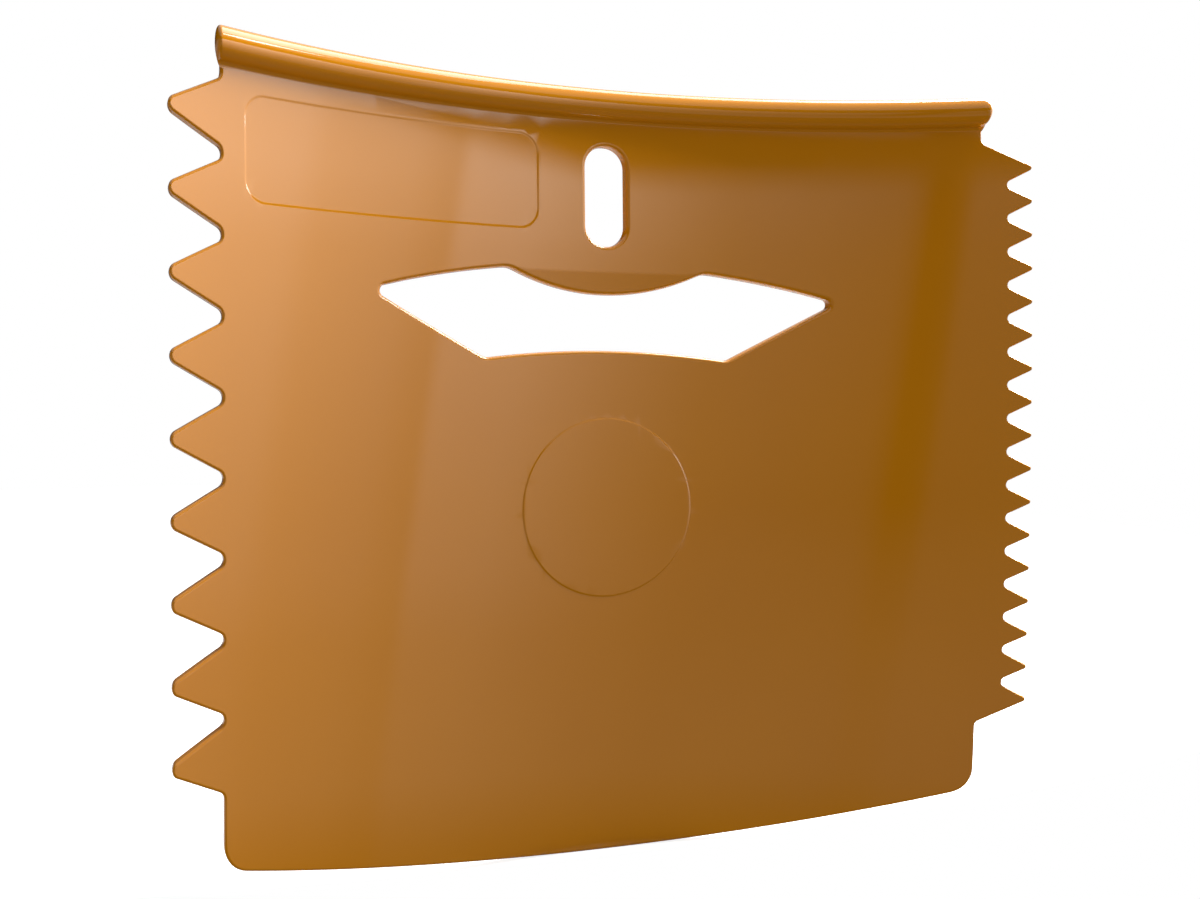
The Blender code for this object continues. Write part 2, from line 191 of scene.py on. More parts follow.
class OpeningSizes(bpy.types.PropertyGroup):
    """The hanging slot and the hand hole"""
    edge_radius: size("Rim radius", "Rounding of the rims of both openings", 0.0005)
    front_rounding: size("Front rounding", "Depth of the openings' rounding at the front", 0.0007)
    slot_width: size("Slot width", "Hanging slot, side to side", 0.0063)
    slot_length: size("Slot length", "Hanging slot, end to end", 0.0145)
    slot_below: size("Slot below rail", "Rail's axis down to the slot's middle", 0.01325)
    hole_below: size("Hole below rail", "Rail's axis down to the upper edge's arc", 0.0232)
    hole_height: size("Hole height", "Between the two long arcs", 0.01245)
    hole_radius: size("Hole arc radius", "Both long edges of the hand hole", 0.1370)
    hole_half: size("Hole half width", "Centre line to the pointed end", 0.0361)
    end_radius: size("Hole end radius", "Rounding of the pointed ends", 0.0008)
    foot_half: size("Foot half width", "Centre line to the lower corners", 0.0188)
    foot_radius: size("Foot radius", "Rounding of the lower corners", 0.0022)
    tongue_half: size("Tongue half width", "Centre line to the tongue's shoulders", 0.01505)
    tongue_drop: size("Tongue drop", "How far the tongue hangs below its shoulders", 0.0035)
    shoulder: size("Shoulder radius", "Rounding beside the tongue", 0.0040)
    tongue_lean: size("Tongue lean", "How far the tongue's lip is set back", 0.0005)


class MouldingSizes(bpy.types.PropertyGroup):
    """The raised disc and the recessed panel"""
    disc_radius: size("Disc radius", "Outer radius of the raised disc", 0.01314)
    disc_height: size("Disc height", "Its centre above the foot of the plate", 0.0510)
    disc_step: size("Disc step", "How proud the disc stands", 0.00011)
    disc_slope: size("Disc slope", "Width of its edge", 0.00030)
    panel_width: size("Panel width", "Recessed panel, side to side", 0.0440)
    panel_height: size("Panel height", "Recessed panel, top to bottom", 0.0138)
    panel_side: size("Panel from side", "Left side edge to the panel", 0.0032)
    panel_below: size("Panel below rail", "Rail's axis down to the panel", 0.0048)
    panel_corner: size("Panel corner radius", "Corners of the panel", 0.0030)
    panel_step: size("Panel step", "Depth of the panel", 0.00006)
    panel_slope: size("Panel slope", "Width of its edge", 0.00040)


class PlasticFinish(bpy.types.PropertyGroup):
    """The caramel plastic"""
    base: colour("Caramel", "Colour of the plastic", (0.493, 0.180, 0.0035))
    warm: colour("Warm caramel", "Where the pigment is a little denser", (0.474, 0.170, 0.0033))
    fleck: colour("Fleck", "Tiny dark flecks of pigment", (0.17, 0.075, 0.012))
    roughness: amount("Roughness", "Gloss of the moulded face", 0.05)
    smudge: amount("Smudge", "How much duller handled patches are", 0.04)
    gloss: amount("Gloss level", "Strength of the clear reflection", 0.5)
    wave_height: size("Wave height", "Faint unevenness of the moulded face", 0.000003)
    grain_height: size("Grain height", "Fine grain of the moulded face", 0.0000004)


class StudioSettings(bpy.types.PropertyGroup):
    """Camera, floor, screen and lamps"""
    aim: FloatVectorProperty(name="Aim", description="Point that the camera looks at", subtype="TRANSLATION",
                             unit="LENGTH", size=3, precision=5, default=(-0.001093, 0.006599, 0.05947))
    azimuth: turn("Azimuth", "Camera's place round the plate; 0 looks along +Y", -20.465)
    elevation: turn("Elevation", "Camera's height above the horizon", 1.937)
    roll: turn("Roll", "Turn of the picture", 0.227)
    distance: size("Distance", "Camera to the point that it looks at", 0.201165)
    lens: FloatProperty(name="Lens", description="Focal length in millimetres", default=41.47)
    floor_shade: amount("Floor shade", "Paleness of the floor", 0.50)
    floor_lift: amount("Floor lift", "Light that the pale floor gives back to the camera", 0.85)
    ambient: amount("Ambient", "Soft light from all round", 0.57)
    screen_light: amount("Screen light", "Strength of the round screen at its brightest", 4.24)
    foot_glow: amount("Foot glow", "Glow low on the round screen", 0.33)
    key_power: amount("Key power", "Watts of the soft key light on the right", 2.28)
    key_azimuth: turn("Key azimuth", "Place of the key light round the plate", 95)
    key_elevation: turn("Key elevation", "Height of the key light above the horizon", 45)
    key_distance: size("Key distance", "Key light to the point that the camera looks at", 0.25)
    key_side: size("Key side", "Length of each side of the key light", 0.18)
    back_power: amount("Back power", "Watts of the soft light behind the rail", 3.33)
    back_azimuth: turn("Back azimuth", "Place of the back light round the plate", 112)
    back_elevation: turn("Back elevation", "Height of the back light above the horizon", 52)
    back_distance: size("Back distance", "Back light to the point that the camera looks at", 0.60)
    back_side: size("Back side", "Length of each side of the back light", 0.42)


class CakeServerSettings(bpy.types.PropertyGroup):
    """Everything that a user may change"""
    plate: PointerProperty(type=PlateSizes)
    comb: PointerProperty(type=CombSizes)
    rail: PointerProperty(type=RailSizes)
    openings: PointerProperty(type=OpeningSizes)
    mouldings: PointerProperty(type=MouldingSizes)
    plastic: PointerProperty(type=PlasticFinish)
    studio: PointerProperty(type=StudioSettings)


def comb_top(s):
    return s.comb.lowest + (s.comb.coarse_count - 1) * s.comb.coarse_pitch


def rail_height(s):
    return comb_top(s) + s.rail.above_tip


def arc_drop(radius, x):
    """How far an arc has fallen from its crown at a distance x from it"""
    return radius - math.sqrt(max(radius * radius - x * x, 0))


def upper_edge(s, x):
    """Upper edge of the hand hole"""
    return rail_height(s) - s.openings.hole_below - arc_drop(s.openings.hole_radius, x)


def tongue_edge(s, x):
    """The arc through both shoulders and the bottom of the tongue"""
    half, drop = s.openings.tongue_half, s.openings.tongue_drop
    radius = (half ** 2 + drop ** 2) / (2 * drop)
    return upper_edge(s, half) - drop + arc_drop(radius, x)


def along(edge, start, end):
    """Sharp points on an edge between two corners, both left out"""
    count = max(2, math.ceil(abs(end - start) / ARC_STEP))
    places = [start + (end - start) * i / count for i in range(1, count)]
    return [(x, edge(x), 0.0) for x in places]


def rounded(corners):
    """Closed outline through (x, z, radius) corners, each rounded by an arc that its sides have room for"""
    outline = []
    for i, (x, z, radius) in enumerate(corners):
        here = Vector((x, z))
        nearest = (corners[i - 1], corners[(i + 1) % len(corners)])
        before, after = (Vector(corner[:2]) - here for corner in nearest)
        bend_angle = math.pi - before.angle(after)
        if radius <= 0 or bend_angle < STRAIGHT_TURN:
            outline.append(here)
            continue
        shares = [CORNER_ROOM / 2 if corner[2] > 0 else CORNER_ROOM for corner in nearest]
        room = min(before.length * shares[0], after.length * shares[1])
        reach = min(radius * math.tan(bend_angle / 2), room)
        radius = reach / math.tan(bend_angle / 2)
        towards = (before.normalized() + after.normalized()).normalized()
        centre = here + towards * (radius / math.cos(bend_angle / 2))
        arm = here + before.normalized() * reach - centre
        side = 1 if before.cross(after) < 0 else -1
        steps = max(2, math.ceil(bend_angle / SMALL_ARC_TURN))
        for k in range(steps + 1):
            spoke = arm.copy()
            spoke.rotate(Matrix.Rotation(side * bend_angle * k / steps, 2))
            outline.append(centre + spoke)
    return outline


def comb_corners(s, side, pitch, heights, tip_radius, root_radius):
    """Corners of one comb from its upper end to its lower, with its two corners on the body"""
    half_angle = s.comb.angle / 2
    body = s.plate.half_body
    sharp_tip = body + s.comb.reach + tip_radius * (1 / math.sin(half_angle) - 1)
    root = sharp_tip - pitch / 2 / math.tan(half_angle)
    flank = (sharp_tip - body) * math.tan(half_angle)
    corners = [(side * body, heights[0] + flank, root_radius)]
    for i, height in enumerate(heights):
        if i:
            corners.append((side * root, height + pitch / 2, root_radius))
        corners.append((side * sharp_tip, height, tip_radius))
    corners.append((side * body, heights[-1] - flank, root_radius))
    return corners


def body_outline(s):
    c = s.comb
    coarse = [comb_top(s) - i * c.coarse_pitch for i in range(c.coarse_count)]
    fine = [comb_top(s) - i * c.fine_pitch for i in range(c.fine_count)]
    left = comb_corners(s, -1, c.coarse_pitch, coarse, c.coarse_tip, c.coarse_root)
    right = comb_corners(s, 1, c.fine_pitch, fine, c.fine_tip, c.fine_root)
    half = s.plate.half_body
    inside = half - s.plate.corner_radius

    def foot_edge(x):
        return arc_drop(s.plate.bottom_radius, x)

    foot = [(-half, foot_edge(half), s.plate.corner_radius), (-inside, foot_edge(inside), 0.0)]
    foot += along(foot_edge, -inside, inside)
    foot += [(inside, foot_edge(inside), 0.0), (half, foot_edge(half), s.plate.corner_radius)]
    top = [(half, rail_height(s), 0.0), (-half, rail_height(s), 0.0)]
    return rounded(left + foot + right[::-1] + top)


def hole_outline(s):
    o = s.openings

    def upper(x):
        return upper_edge(s, x)

    def lower(x):
        return upper_edge(s, x) - o.hole_height

    def tongue(x):
        return tongue_edge(s, x)

    end, foot = upper(o.hole_half), lower(o.foot_half)
    corners = [(-o.hole_half, end, o.end_radius), (-o.foot_half, foot, o.foot_radius)]
    corners += along(lower, -o.foot_half, o.foot_half)
    corners += [(o.foot_half, foot, o.foot_radius), (o.hole_half, end, o.end_radius)]
    corners += along(upper, o.hole_half - HOLE_END_ROOM, o.tongue_half)
    corners += [(o.tongue_half, upper(o.tongue_half), o.shoulder)]
    corners += along(tongue, o.tongue_half, -o.tongue_half)
    corners += [(-o.tongue_half, upper(o.tongue_half), o.shoulder)]
    corners += along(upper, -o.tongue_half, HOLE_END_ROOM - o.hole_half)
    return rounded(corners)


def slot_outline(s):
    middle = rail_height(s) - s.openings.slot_below
    x = s.openings.slot_width / 2
    z = s.openings.slot_length / 2
    return rounded([(-x, middle + z, x), (-x, middle, 0.0), (-x, middle - z, x), (0, middle - z, 0.0),
                    (x, middle - z, x), (x, middle, 0.0), (x, middle + z, x), (0, middle + z, 0.0)])


def disc_outline(s):
    sides = 2 * round(math.pi / (SMALL_ARC_TURN / 3))
    turns = [2 * math.pi * i / sides for i in range(sides)]
    radius = s.mouldings.disc_radius
    return [Vector((radius * math.cos(a), s.mouldings.disc_height + radius * math.sin(a))) for a in turns]


def panel_outline(s):
    left = s.mouldings.panel_side - s.plate.half_body
    right = left + s.mouldings.panel_width
    top = rail_height(s) - s.mouldings.panel_below
    bottom = top - s.mouldings.panel_height
    corners = ((left, top), (left, bottom), (right, bottom), (right, top))
    return rounded([(x, z, s.mouldings.panel_corner) for x, z in corners])


def material_side(outline, outside):
    """For each point, the step that moves both of its sides one unit into the plastic"""
    area = sum(a.x * b.y - a.y * b.x for a, b in zip(outline, outline[1:] + outline[:1]))
    sign = (1 if area > 0 else -1) * (-1 if outside else 1)
    steps = []
    for i, here in enumerate(outline):
        first = (here - outline[i - 1]).normalized()
        second = (outline[(i + 1) % len(outline)] - here).normalized()
        one = Vector((-first.y, first.x)) * sign
        two = Vector((-second.y, second.x)) * sign
        steps.append((one + two) / (1 + one.dot(two)))
    return steps


def extrude_ring(mesh, count, stations, place):
    """Draw a closed ring of edges at the first station, extrude it through the rest, and give its two ends"""
    spot = mesh.verts.layers.int.get("spot") or mesh.verts.layers.int.new("spot")
    verts = [mesh.verts.new() for _ in range(count)]
    for i, vert in enumerate(verts):
        vert[spot] = i
        vert.co = place(i, *stations[0])
    first = [mesh.edges.new(pair) for pair in zip(verts, verts[1:] + verts[:1])]
    last = first
    for station in stations[1:]:
        made = bmesh.ops.extrude_edge_only(mesh, edges=last)["geom"]
        verts = {item for item in made if isinstance(item, bmesh.types.BMVert)}
        edges = (item for item in made if isinstance(item, bmesh.types.BMEdge))
        last = [edge for edge in edges if verts.issuperset(edge.verts)]
        for vert in verts:
            vert.co = place(vert[spot], *station)
    return first, last


def rim(mesh, outline, levels, outside=False):
    """Extrude an outline through its (inset, depth) levels; the plastic lies outside a hole's outline"""
    steps = material_side(outline, outside)

    def place(i, inset, depth):
        flat = outline[i] + steps[i] * inset
        return (flat.x, depth, flat.y)

    return extrude_ring(mesh, len(outline), levels, place)


def fill(mesh, loops):
    edges = [edge for loop in loops for edge in loop]
    bmesh.ops.triangle_fill(mesh, use_beauty=True, use_dissolve=True, edges=edges, normal=(0, 1, 0))


def edge_levels(width, front_depth, back_depth, wall):
    """Levels of a rim through the wall: a flat lip, a rounding at each face, and the wall between them"""
    turns = [math.pi / 2 * k / RIM_STEPS for k in range(RIM_STEPS + 1)]
    arc = [(width * (1 - math.sin(a)), 1 - math.cos(a)) for a in turns]
    front = [(width + RIM_LIP, 0.0)] + [(inset, front_depth * share) for inset, share in arc]
    back = [(inset, wall - back_depth * share) for inset, share in arc[::-1]] + [(width + RIM_LIP, wall)]
    return front + back


def slope_levels(width, step):
    """Levels of a soft step of the front face"""
    shares = [k / SLOPE_STEPS for k in range(SLOPE_STEPS + 1)]
    return [(width * share, step * (1 - math.cos(math.pi * share)) / 2) for share in shares]


def flat_plate(s):
    """The closed plate before it is bent, with its two holes, the raised disc and the recessed panel"""
    mesh = bmesh.new()
    wall = s.plate.wall
    m = s.mouldings
    outer = edge_levels(s.plate.edge_radius, s.plate.front_rounding, s.plate.edge_radius, wall)
    inner = edge_levels(s.openings.edge_radius, s.openings.front_rounding, s.plate.edge_radius, wall)
    body = rim(mesh, body_outline(s), outer)
    slot = rim(mesh, slot_outline(s), inner, outside=True)
    hole = rim(mesh, hole_outline(s), inner, outside=True)
    disc = rim(mesh, disc_outline(s), slope_levels(m.disc_slope, -m.disc_step))
    panel = rim(mesh, panel_outline(s), slope_levels(m.panel_slope, m.panel_step))
    fill(mesh, [body[0], slot[0], hole[0], disc[0], panel[0]])
    fill(mesh, [body[1], slot[1], hole[1]])
    fill(mesh, [disc[1]])
    fill(mesh, [panel[1]])
    bmesh.ops.recalc_face_normals(mesh, faces=mesh.faces)
    return mesh


def rail_section(s):
    """(y, z) points of the rail: a circle that blends into the front face, closed inside the wall"""
    radius, blend = s.rail.radius, s.rail.blend
    centre = s.plate.wall + s.rail.back_step - radius
    across = centre + blend - RAIL_SINK
    down = math.sqrt(max((radius + blend) ** 2 - across ** 2, 0))
    meet = math.atan2(down, across)
    whole = math.pi + meet + RAIL_BACK_ENTRY
    steps = round(RAIL_SIDES * whole / (2 * math.pi))
    points = []
    for k in range(steps + 1):
        angle = whole * k / steps - RAIL_BACK_ENTRY
        points.append((centre + radius * math.cos(angle), rail_height(s) + radius * math.sin(angle)))
    for k in range(1, BLEND_STEPS + 1):
        angle = meet * (1 - k / BLEND_STEPS)
        points.append((RAIL_SINK + blend * (math.cos(angle) - 1),
                       rail_height(s) - down + blend * math.sin(angle)))
    return points


def rail_end(tip, length):
    """(distance from the middle, size) places along one rounded end of the rail, up to its tip"""
    places = [(tip - length, 1.0)]
    for k in range(1, RAIL_END_STEPS + 1):
        angle = RAIL_END_LAST * k / RAIL_END_STEPS
        reach = (math.sin(angle) / math.sin(RAIL_END_LAST)) ** RAIL_END_FULLNESS
        places.append((tip - length * (1 - reach), math.cos(angle) ** RAIL_END_FULLNESS))
    return places


def rail_bar(s):
    """The rail as a closed bar: its section extruded along X, narrower at both ends"""
    mesh = bmesh.new()
    section = rail_section(s)
    centre = s.plate.wall + s.rail.back_step - s.rail.radius
    height = rail_height(s)
    left = rail_end(s.plate.half_body + s.rail.coarse_overhang, s.rail.coarse_end)
    right = rail_end(s.plate.half_body + s.rail.fine_overhang, s.rail.fine_end)

    def place(i, x, share):
        y, z = section[i]
        lift = s.rail.coarse_lift if x < 0 else s.rail.fine_lift
        return (x, centre + (y - centre) * share, height + lift * (1 - share) + (z - height) * share)

    for end in extrude_ring(mesh, len(section), [(-x, share) for x, share in left[::-1]] + right, place):
        bmesh.ops.contextual_create(mesh, geom=end)
    bmesh.ops.recalc_face_normals(mesh, faces=mesh.faces)
    return mesh


def to_object(mesh, name):
    data = bpy.data.meshes.new(name)
    mesh.to_mesh(data)
    mesh.free()
    item = bpy.data.objects.new(name, data)
    bpy.context.scene.collection.objects.link(item)
    return item


def join_rail(plate, rail):
    """The plate and its rail as one body"""
    union = plate.modifiers.new("rail", "BOOLEAN")
    union.operation = "UNION"
    union.solver = "EXACT"
    union.object = rail
    graph = bpy.context.evaluated_depsgraph_get()
    joined = bmesh.new()
    joined.from_mesh(plate.evaluated_get(graph).to_mesh())
    plate.modifiers.remove(union)
    bpy.data.objects.remove(rail, do_unlink=True)
    return joined


def cut_strips(s, mesh):
    """Cut the flat body along every line where the bend, the bow or the tongue's lean needs points"""
    strips = math.ceil((s.plate.half_body + s.comb.reach) / STRIP_WIDTH)
    cuts = [(Vector((i * STRIP_WIDTH, 0, 0)), Vector((1, 0, 0))) for i in range(-strips, strips + 1)]
    rows = math.ceil((rail_height(s) + s.rail.radius) / ROW_HEIGHT)
    heights = [i * ROW_HEIGHT for i in range(1, rows)] + [upper_edge(s, s.openings.tongue_half)]
    cuts += [(Vector((0, 0, height)), Vector((0, 0, 1))) for height in heights]
    for place, across in cuts:
        everything = mesh.verts[:] + mesh.edges[:] + mesh.faces[:]
        bmesh.ops.bisect_plane(mesh, geom=everything, dist=MERGE_DISTANCE, plane_co=place, plane_no=across)
    bmesh.ops.remove_doubles(mesh, verts=mesh.verts, dist=MERGE_DISTANCE)
    bmesh.ops.triangulate(mesh, faces=mesh.faces, quad_method="BEAUTY", ngon_method="BEAUTY")


def lean_tongue(s, mesh):
    """Lean the tongue's front back towards its lip"""
    o = s.openings
    line = upper_edge(s, o.tongue_half)
    below = line - o.hole_height / 2
    for vert in mesh.verts:
        x, y, z = vert.co
        if abs(x) < o.tongue_half and y < s.plate.wall / 2 and below < z < line:
            vert.co.y += o.tongue_lean * (line - z) / o.tongue_drop


def bending(s):
    """The function that lifts the rail's ends, bends the plate about its vertical axis and bows it.

    Both faces keep their distance, and every rim stays parallel to Y, the way the mould opens.
    """
    bend_radius, half_body = s.plate.bend_radius, s.plate.half_body
    bow_radius, bow_height = s.plate.bow_radius, s.plate.bow_height
    underside, end_rise = rail_height(s) - s.rail.radius, s.rail.rise

    def bent(place):
        x, y, z = place
        share = min(max(1 - (underside - z) / RISE_HEIGHT, 0), 1)
        angle = x / bend_radius
        hollow = bend_radius * (1 - math.cos(angle))
        bow = (z - bow_height) ** 2 / (2 * bow_radius)
        rise = end_rise * (x / half_body) ** 2 * share
        return Vector((bend_radius * math.sin(angle), y / math.cos(angle) - hollow + bow, z + rise))

    return bent


def flat_normals(piece):
    """Smooth corner normals of the flat plate, led by its large faces, with its few true corners kept"""
    piece.data.shade_smooth()
    piece.data.set_sharp_from_angle(angle=SHARP_ANGLE)
    weights = piece.modifiers.new("face weights", "WEIGHTED_NORMAL")
    weights.mode = "FACE_AREA"
    weights.weight = WEIGHT_OF_AREA
    weights.keep_sharp = True
    graph = bpy.context.evaluated_depsgraph_get()
    shaded = piece.evaluated_get(graph).to_mesh()
    normals = [corner.vector.copy() for corner in shaded.corner_normals]
    piece.modifiers.remove(weights)
    return normals


def bend(s, piece):
    """Bend the points of the flat plate, and turn its normals by what the bend does to three short steps"""
    bent = bending(s)
    normals = flat_normals(piece)
    mesh = piece.data
    turned = []
    for vert in mesh.vertices:
        here = bent(vert.co)
        steps = [(bent(vert.co + axis * SHORT_STEP) - here) / SHORT_STEP for axis in Matrix.Identity(3)]
        turned.append(Matrix(steps).inverted())
        vert.co = here
    corners = [(turned[loop.vertex_index] @ normal).normalized() for loop, normal in zip(mesh.loops, normals)]
    mesh.normals_split_custom_set(corners)


def stand_in_frame(piece):
    """Put the plate where the frame's own node stands"""
    places = [vert.co for vert in piece.data.vertices]
    low = Vector([min(place[i] for place in places) for i in range(3)])
    high = Vector([max(place[i] for place in places) for i in range(3)])
    shift = (NODE_LOW + NODE_HIGH) / 2 - (low + high) / 2
    shift.z = NODE_HIGH.z - high.z
    piece.data.transform(Matrix.Translation(shift))


class Wire:
    """A value socket whose Python arithmetic adds Math nodes"""

    def __init__(self, board, socket):
        self.board = board
        self.socket = socket

    def __add__(self, other):
        return self.board.maths("ADD", self, other)

    __radd__ = __add__

    def __mul__(self, other):
        return self.board.maths("MULTIPLY", self, other)

    __rmul__ = __mul__

    def __sub__(self, other):
        return self.board.maths("SUBTRACT", self, other)

    def __rsub__(self, other):
        return self.board.maths("SUBTRACT", other, self)

    def __truediv__(self, other):
        return self.board.maths("DIVIDE", self, other)

    def __lt__(self, other):
        return self.board.maths("LESS_THAN", self, other)

    def __gt__(self, other):
        return self.board.maths("GREATER_THAN", self, other)


class Board:
    """The nodes of one material, lamp or world"""

    def __init__(self, owner):
        owner.use_nodes = True
        self.tree = owner.node_tree
        self.tree.nodes.clear()

    def node(self, kind, settings=(), sockets=(), out=0):
        """Add a node, its settings first and then its sockets, and give its output or outputs"""
        made = self.tree.nodes.new(kind)
        for name, value in dict(settings).items():
            if name == "stops":
                self.set_stops(made.color_ramp, value)
            else:
                setattr(made, name, value)
        for name, value in dict(sockets).items():
            socket = made.inputs[name]
            if isinstance(value, Wire):
                self.tree.links.new(value.socket, socket)
            else:
                socket.default_value = value
        if not made.outputs:
            return made
        if isinstance(out, tuple):
            return [Wire(self, made.outputs[index]) for index in out]
        return Wire(self, made.outputs[out])

    @staticmethod
    def set_stops(ramp, stops):
        while len(ramp.elements) < len(stops):
            ramp.elements.new(1.0)
        for element, (place, shade) in zip(ramp.elements, stops):
            element.position = place
            element.color = (shade, shade, shade, 1.0)

    def maths(self, operation, one, two):
        return self.node("ShaderNodeMath", {"operation": operation}, {0: one, 1: two})

    def clamped(self, value):
        return self.node("ShaderNodeClamp", {}, {0: value})

    def mixed(self, factor, one, two):
        """Blend of two colours"""
        return self.node("ShaderNodeMix", {"data_type": "RGBA"}, {0: factor, 6: one, 7: two}, out=2)

    def finish(self, kind, surface):
        self.node(kind, {}, {0: surface})


def solid(rgb):
    return (*rgb, 1.0)


def caramel_plastic(finish):
    """Glossy moulded plastic: dense pigment, faint waves and grain, handled patches and a few flecks"""
    material = bpy.data.materials.new("caramel_plastic")
    board = Board(material)
    place = board.node("ShaderNodeTexCoord", out=3)

    def noise(scale, detail):
        return board.node("ShaderNodeTexNoise", {}, {"Vector": place, "Scale": scale, "Detail": detail})

    cloud = noise(CLOUD_SCALE, detail=2.0)
    smudge = noise(SMUDGE_SCALE, detail=4.0)
    waves = noise(WAVE_SCALE, detail=1.0)
    grain = noise(GRAIN_SCALE, detail=1.0)
    cell = {"Vector": place, "Scale": FLECK_SCALE}
    speck = board.node("ShaderNodeTexVoronoi", {}, cell)
    chance = board.node("ShaderNodeTexVoronoi", {}, cell, out=1)
    flecks = (speck < FLECK_SIZE) * (board.node("ShaderNodeSeparateColor", {}, {0: chance}) > FLECK_RARITY)
    patches = board.clamped((cloud - CLOUD_FROM) * CLOUD_CONTRAST)
    tone = board.mixed(patches, solid(finish.base), solid(finish.warm))
    tone = board.mixed(flecks * FLECK_STRENGTH, tone, solid(finish.fleck))
    handled = board.clamped((smudge - SMUDGE_FROM) * SMUDGE_CONTRAST)
    roughness = finish.roughness + finish.smudge * handled
    relief = waves * finish.wave_height + grain * finish.grain_height
    normal = board.node("ShaderNodeBump", {}, {"Strength": 1.0, "Distance": 1.0, "Height": relief})
    shader = board.node("ShaderNodeBsdfPrincipled", {}, {
        "Base Color": tone, "Roughness": roughness, "Normal": normal,
        "Specular IOR Level": finish.gloss})
    board.finish("ShaderNodeOutputMaterial", shader)
    return material


def show_through(kind, board):
    """1 for the rays that carry the pale background: camera, mirror and glass rays"""
    paths = [board.node("ShaderNodeLightPath", out=index) for index in kind]
    total = paths[0]
    for path in paths[1:]:
        total = board.maths("MAXIMUM", total, path)
    return total


CAMERA_RAY, GLOSSY_RAY, TRANSMISSION_RAY = 0, 3, 6
BACKGROUND_RAYS = (CAMERA_RAY, GLOSSY_RAY, TRANSMISSION_RAY)


def pale_floor(studio):
    """A pale matt floor that fades into the white background but keeps its shadows"""
    material = bpy.data.materials.new("pale_floor")
    board = Board(material)
    shade = (studio.floor_shade,) * 3
    matt = board.node("ShaderNodeBsdfDiffuse", {}, {"Color": solid(shade)})
    seen = board.node("ShaderNodeLightPath", out=CAMERA_RAY)
    lift = board.node("ShaderNodeEmission", {}, {"Strength": seen * studio.floor_lift})
    board.finish("ShaderNodeOutputMaterial", board.node("ShaderNodeAddShader", {}, {0: matt, 1: lift}))
    return material


def lay_floor(studio):
    mesh = bmesh.new()
    middle = Matrix.Translation((*FLOOR_CENTRE, 0.0))
    bmesh.ops.create_circle(mesh, cap_ends=True, segments=FLOOR_SIDES, radius=FLOOR_RADIUS, matrix=middle)
    floor = to_object(mesh, "floor")
    floor.data.materials.append(pale_floor(studio))


def spaced(stops, start, end):
    """The (place, brightness) stops of a ramp, moved to its own run from 0 to 1"""
    return [((place - start) / (end - start), shade) for place, shade in stops]


def screen_material(studio):
    """Graded light of the round screen, by its own azimuth and height"""
    material = bpy.data.materials.new("graded_screen")
    board = Board(material)
    place = board.node("ShaderNodeTexCoord", out=3)
    x, y, z = board.node("ShaderNodeSeparateXYZ", {}, {0: place}, out=(0, 1, 2))
    azimuth = board.maths("ARCTAN2", x, 0.0 - y)
    share = (azimuth + (z - SCREEN_UPRIGHT) * SCREEN_LEAN) / (2 * math.pi) + 0.5
    low, high = SCREEN_HEIGHTS
    rise = (z - low) / (high - low)
    across = board.node("ShaderNodeValToRGB", {"stops": spaced(SCREEN_ROUND, -180, 180)}, {0: share})
    upward = board.node("ShaderNodeValToRGB", {"stops": spaced(SCREEN_UPWARD, low, high)}, {0: rise})
    slant = board.maths("MAXIMUM", azimuth - WINDOW_CORNER, 0.0) * WINDOW_SLANT
    window = board.clamped((slant + WINDOW_TOP - z) / WINDOW_SOFTNESS)
    glow = board.node("ShaderNodeValToRGB", {"stops": spaced(SCREEN_GLOW, low, high)}, {0: rise})
    strength = across * upward * window * studio.screen_light + glow * studio.foot_glow
    light = board.node("ShaderNodeEmission", {}, {"Strength": strength})
    board.finish("ShaderNodeOutputMaterial", light)
    return material


def hang_screen(studio):
    """A round screen, closed below, that the gloss shows and the camera doesn't see"""
    mesh = bmesh.new()
    low, high = SCREEN_HEIGHTS
    feet = [mesh.verts.new((0, SCREEN_RADIUS, z)) for z in (low, high)]
    edge = mesh.edges.new(feet)
    bmesh.ops.spin(mesh, geom=[*feet, edge], cent=(0, 0, 0), axis=(0, 0, 1), angle=2 * math.pi,
                   steps=SCREEN_STEPS, use_merge=True)
    bmesh.ops.create_circle(mesh, cap_ends=True, segments=SCREEN_STEPS, radius=SCREEN_RADIUS,
                            matrix=Matrix.Translation((0, 0, low)))
    bmesh.ops.remove_doubles(mesh, verts=mesh.verts, dist=MERGE_DISTANCE)
    bmesh.ops.recalc_face_normals(mesh, faces=mesh.faces)
    screen = to_object(mesh, "graded_screen")
    screen.visible_camera = False
    screen.visible_diffuse = False
    screen.visible_shadow = False
    screen.data.materials.append(screen_material(studio))


def white_world(studio):
    """White where it is seen, and a dim even light where it falls on things"""
    world = bpy.data.worlds.new("studio")
    bpy.context.scene.world = world
    board = Board(world)
    seen = show_through(BACKGROUND_RAYS, board)
    strength = seen + (1.0 - seen) * studio.ambient
    light = board.node("ShaderNodeBackground", {}, {"Color": solid((1.0, 1.0, 1.0)), "Strength": strength})
    board.finish("ShaderNodeOutputWorld", light)


def direction(azimuth, elevation):
    """From the plate towards a place round it"""
    return Vector((math.sin(azimuth) * math.cos(elevation), -math.cos(azimuth) * math.cos(elevation),
                   math.sin(elevation)))


def hang_lamp(name, aim, towards, distance, side, power):
    """A square soft lamp that faces the point that the camera looks at"""
    lamp = bpy.data.lights.new(name, "AREA")
    lamp.size = side
    lamp.energy = power
    item = bpy.data.objects.new(name, lamp)
    item.location = Vector(aim) + towards * distance
    item.rotation_euler = towards.to_track_quat("Z", "Y").to_euler()
    bpy.context.scene.collection.objects.link(item)


def set_lamps(s):
    """A key light on the right, and a back light for the rail"""
    towards_key = direction(s.key_azimuth, s.key_elevation)
    hang_lamp("key_light", s.aim, towards_key, s.key_distance, s.key_side, s.key_power)
    towards_back = direction(s.back_azimuth, s.back_elevation)
    hang_lamp("back_light", s.aim, towards_back, s.back_distance, s.back_side, s.back_power)


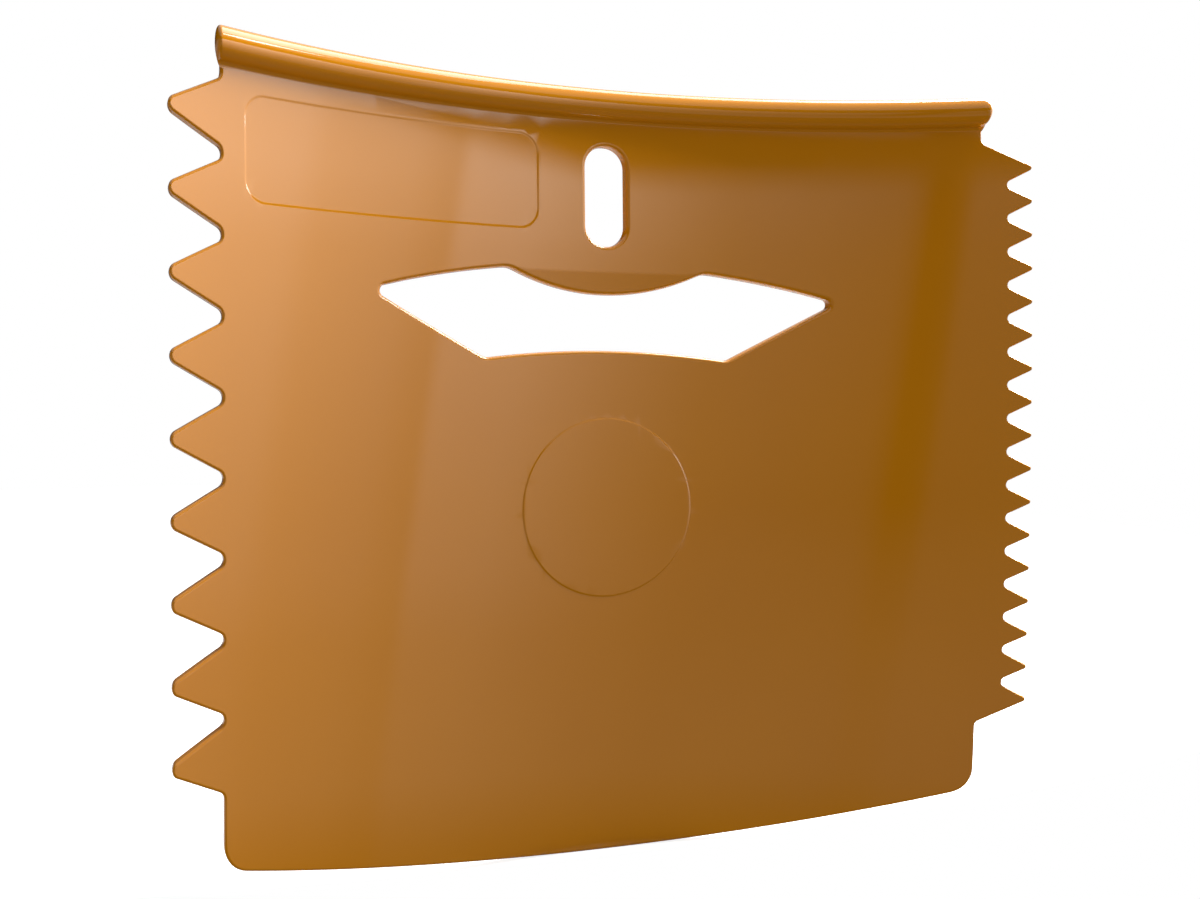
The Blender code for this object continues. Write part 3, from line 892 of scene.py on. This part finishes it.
def set_camera(studio):
    """The camera on its ray from the aim, with the picture turned by the roll"""
    back = direction(studio.azimuth, studio.elevation)
    right = Vector((math.cos(studio.azimuth), math.sin(studio.azimuth), 0.0))
    axes = Matrix((right, back.cross(right), back)).transposed()
    data = bpy.data.cameras.new("camera")
    data.lens = studio.lens
    data.clip_start = 0.01
    camera = bpy.data.objects.new("camera", data)
    turned = axes @ Matrix.Rotation(studio.roll, 3, "Z")
    camera.matrix_world = Matrix.Translation(Vector(studio.aim) + back * studio.distance) @ turned.to_4x4()
    bpy.context.scene.collection.objects.link(camera)
    bpy.context.scene.camera = camera


class CAKE_SERVER_OT_plate(bpy.types.Operator):
    """Build the bent plate with its rail, combs, openings and mouldings, in place of the plain node"""
    bl_idname = "cake_server.plate"
    bl_label = "Build the plate"

    def execute(self, context):
        s = context.scene.cake_server
        piece = to_object(flat_plate(s), "comb_plate")
        joined = join_rail(piece, to_object(rail_bar(s), "rail"))
        cut_strips(s, joined)
        lean_tongue(s, joined)
        bmesh.ops.recalc_face_normals(joined, faces=joined.faces)
        joined.to_mesh(piece.data)
        joined.free()
        bend(s, piece)
        stand_in_frame(piece)
        piece.data.materials.append(caramel_plastic(s.plastic))
        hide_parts(NODE)
        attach(piece, BODY)
        return {"FINISHED"}


class CAKE_SERVER_OT_stage(bpy.types.Operator):
    """Set the floor, the screen, the lamps, the white background and the camera"""
    bl_idname = "cake_server.stage"
    bl_label = "Set the stage"

    def execute(self, context):
        studio = context.scene.cake_server.studio
        context.scene.view_settings.view_transform = "Standard"
        lay_floor(studio)
        hang_screen(studio)
        set_lamps(studio)
        white_world(studio)
        set_camera(studio)
        return {"FINISHED"}


class CAKE_SERVER_PT_panel(bpy.types.Panel):
    """Sizes, finish and studio, with the buttons that build them"""
    bl_label = "Cake Server"
    bl_idname = "CAKE_SERVER_PT_panel"
    bl_space_type = "VIEW_3D"
    bl_region_type = "UI"
    bl_category = "Cake Server"

    def draw(self, context):
        s = context.scene.cake_server
        for operator in OPERATORS:
            self.layout.operator(operator.bl_idname)
        for group in (s.plate, s.comb, s.rail, s.openings, s.mouldings, s.plastic, s.studio):
            box = self.layout.box()
            for name in group.__annotations__:
                box.prop(group, name)


GROUPS = (PlateSizes, CombSizes, RailSizes, OpeningSizes, MouldingSizes, PlasticFinish, StudioSettings,
          CakeServerSettings)
OPERATORS = (CAKE_SERVER_OT_plate, CAKE_SERVER_OT_stage)
CLASSES = (*GROUPS, *OPERATORS, CAKE_SERVER_PT_panel)


def register():
    for item in CLASSES:
        bpy.utils.register_class(item)
    bpy.types.Scene.cake_server = PointerProperty(type=CakeServerSettings)


def unregister():
    del bpy.types.Scene.cake_server
    for item in reversed(CLASSES):
        bpy.utils.unregister_class(item)


def main():
    register()
    bpy.ops.cake_server.plate()
    bpy.ops.cake_server.stage()


if __name__ == "__main__":
    main()
